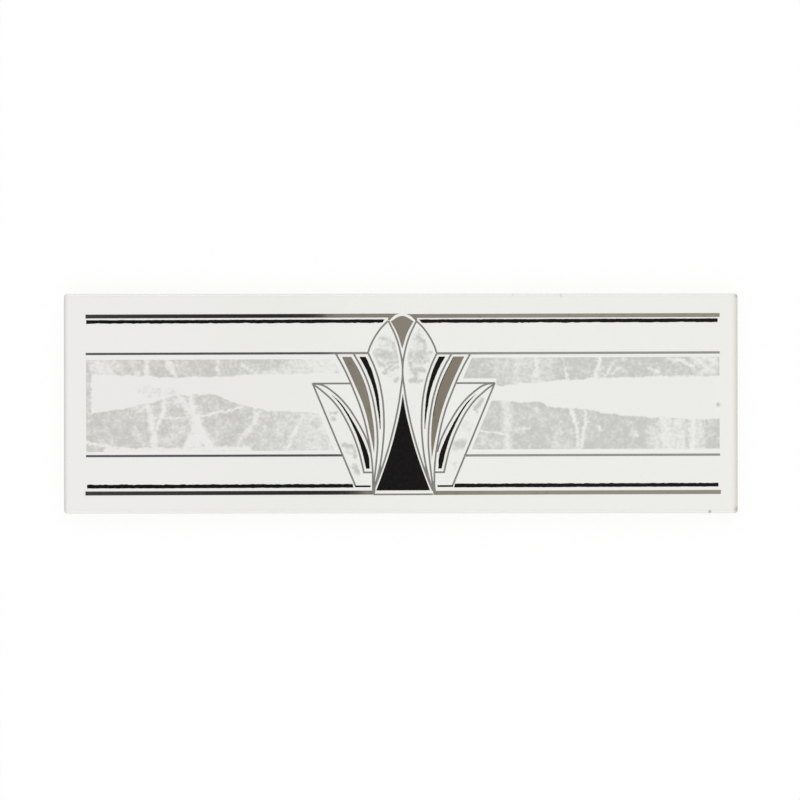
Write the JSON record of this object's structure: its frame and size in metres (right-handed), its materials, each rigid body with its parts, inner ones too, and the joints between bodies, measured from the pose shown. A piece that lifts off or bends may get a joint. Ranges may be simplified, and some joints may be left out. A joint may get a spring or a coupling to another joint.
{
  "type": "border tile",
  "caption": "Long narrow glazed ceramic border tile with a rounded face edge and keyed back, printed with a stylised lotus fan, marbled bands and metallic rules, for trimming a tiled wall.",
  "frame": {"origin": "centre of the tile's outline, on the plane of the tips of the back key that it lies on", "axes": "+X along the length, to the right of the printed ornament; +Y across the width, to the top of the ornament; +Z out of the glazed face"},
  "size_m": [0.198, 0.0646, 0.0065],
  "materials": {
    "white_glaze": "gloss",
    "biscuit": "matte",
    "black_enamel": "gloss",
    "platinum_lustre": "polished",
    "marble_print": "gloss"
  },
  "bodies": {
    "root": {"border_tile": "white_glaze"}
  },
  "joints": []
}
